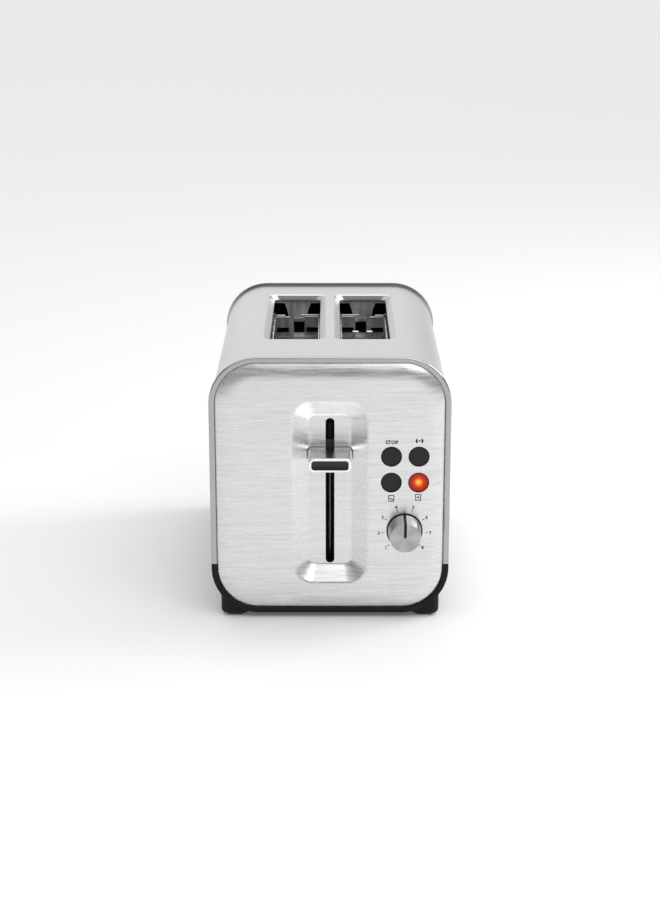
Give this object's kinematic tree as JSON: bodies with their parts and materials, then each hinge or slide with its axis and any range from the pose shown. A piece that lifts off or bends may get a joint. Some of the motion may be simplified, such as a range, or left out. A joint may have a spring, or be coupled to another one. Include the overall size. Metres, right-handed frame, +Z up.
{
  "type": "pop-up toaster",
  "caption": "Long pop-up toaster with a brushed steel case, chrome end frames and black base, with a lever, push buttons and a browning dial on its end.",
  "frame": {"origin": "on the floor, under the middle of the overall length and width, with the lever up at rest", "axes": "+X to the right seen from the lever end, +Y from the lever end to the rear, +Z up"},
  "size_m": [0.19, 0.306, 0.2165],
  "materials": {
    "case_steel": "satin",
    "panel_steel": "satin",
    "frame_chrome": "polished",
    "base_black": "satin",
    "foot_rubber": "matte",
    "carrier_black": "matte",
    "button_dark": "satin",
    "button_lit": "gloss",
    "knob_steel": "satin",
    "mark_black": "matte",
    "lever_chrome": "polished",
    "lever_black": "satin",
    "works_steel": "satin",
    "chassis_steel": "satin",
    "guard_steel": "satin",
    "plate_steel": "satin",
    "mica": "matte",
    "heater_ribbon": "satin",
    "board_green": "satin",
    "switch_black": "satin",
    "led_clear": "gloss",
    "coil_copper": "satin",
    "core_steel": "satin",
    "slider_plastic": "satin",
    "spring_steel": "satin",
    "terminal_cream": "satin",
    "screw_zinc": "satin"
  },
  "bodies": {
    "housing": {"base": "base_black", "base_screws": "screw_zinc", "body_shell": "case_steel", "button_switches": "switch_black", "chamber_shelf": "guard_steel", "chamber_top": "chassis_steel", "control_board": "board_green", "cord_gland": "foot_rubber", "dial_bezel": "mark_black", "element_boards": "mica", "foot_pads": "foot_rubber", "front_carrier": "carrier_black", "front_frame": "frame_chrome", "front_panel": "panel_steel", "front_wall": "chassis_steel", "guide_rod": "works_steel", "heater_ribbons": "heater_ribbon", "indicator_leds": "led_clear", "lift_spring": "spring_steel", "magnet_coil": "coil_copper", "magnet_core": "core_steel", "mains_switch": "switch_black", "potentiometer": "works_steel", "power_board": "board_green", "rear_carrier": "carrier_black", "rear_frame": "frame_chrome", "rear_panel": "panel_steel", "rear_wall": "chassis_steel", "reflector_left": "chassis_steel", "reflector_right": "chassis_steel", "rod_bracket": "chassis_steel", "slit_liner": "carrier_black", "terminal_block": "terminal_cream"},
    "carriage": {"lever_knob": "lever_chrome", "lever_insert": "lever_black", "lever_arm": "works_steel", "carriage_slider": "slider_plastic", "carriage_bracket": "chassis_steel", "latch_plate": "core_steel", "bread_rack_left": "chassis_steel", "bread_rack_right": "chassis_steel", "rack_hooks": "guard_steel"},
    "guard_left_outer": {"bread_guard_left_outer": "guard_steel", "guard_plate_left_outer": "plate_steel"},
    "guard_left_inner": {"bread_guard_left_inner": "guard_steel", "guard_plate_left_inner": "plate_steel"},
    "guard_right_outer": {"bread_guard_right_outer": "guard_steel", "guard_plate_right_outer": "plate_steel"},
    "guard_right_inner": {"bread_guard_right_inner": "guard_steel", "guard_plate_right_inner": "plate_steel"},
    "stop": {"stop_button": "button_dark"},
    "bagel": {"bagel_button": "button_dark"},
    "reheat": {"reheat_button": "button_dark"},
    "defrost": {"defrost_button": "button_lit"},
    "dial": {"browning_knob": "knob_steel", "knob_pointer": "mark_black", "dial_shaft": "works_steel"},
    "tray": {"crumb_tray": "works_steel", "tray_handle": "base_black"}
  },
  "joints": [
    {"name": "carriage_slide", "type": "slide", "parent": "housing", "child": "carriage", "axis": [0, 0, 1], "range_m": [-0.08, 0.02], "stiffness_N_per_m": 100, "springref_m": 0.0147, "deforming": ["lift_spring"]},
    {"name": "guard_left_outer_slide", "type": "slide", "parent": "housing", "child": "guard_left_outer", "axis": [1, 0, 0], "range_m": [-0.0017, 0.0065]},
    {"name": "guard_left_inner_slide", "type": "slide", "parent": "housing", "child": "guard_left_inner", "axis": [-1, 0, 0], "range_m": [-0.0017, 0.0065]},
    {"name": "guard_right_outer_slide", "type": "slide", "parent": "housing", "child": "guard_right_outer", "axis": [-1, 0, 0], "range_m": [-0.0017, 0.0065]},
    {"name": "guard_right_inner_slide", "type": "slide", "parent": "housing", "child": "guard_right_inner", "axis": [1, 0, 0], "range_m": [-0.0017, 0.0065]},
    {"name": "stop_press", "type": "slide", "parent": "housing", "child": "stop", "axis": [0, 1, 0], "range_m": [0, 0.0015], "stiffness_N_per_m": 300, "springref_m": -0.0005},
    {"name": "bagel_press", "type": "slide", "parent": "housing", "child": "bagel", "axis": [0, 1, 0], "range_m": [0, 0.0015], "stiffness_N_per_m": 300, "springref_m": -0.0005},
    {"name": "reheat_press", "type": "slide", "parent": "housing", "child": "reheat", "axis": [0, 1, 0], "range_m": [0, 0.0015], "stiffness_N_per_m": 300, "springref_m": -0.0005},
    {"name": "defrost_press", "type": "slide", "parent": "housing", "child": "defrost", "axis": [0, 1, 0], "range_m": [0, 0.0015], "stiffness_N_per_m": 300, "springref_m": -0.0005},
    {"name": "dial_turn", "type": "hinge", "parent": "housing", "child": "dial", "pos_m": [0.0592, -0.139, 0.0753], "axis": [0, 1, 0], "range_deg": [-135, 135]},
    {"name": "tray_slide", "type": "slide", "parent": "housing", "child": "tray", "axis": [0, 1, 0], "range_m": [0, 0.175]}
  ],
  "couplings": [
    {"joint": "guard_left_outer_slide", "follows": "carriage_slide", "ratio": -0.08},
    {"joint": "guard_left_inner_slide", "follows": "carriage_slide", "ratio": -0.08},
    {"joint": "guard_right_outer_slide", "follows": "carriage_slide", "ratio": -0.08},
    {"joint": "guard_right_inner_slide", "follows": "carriage_slide", "ratio": -0.08}
  ]
}
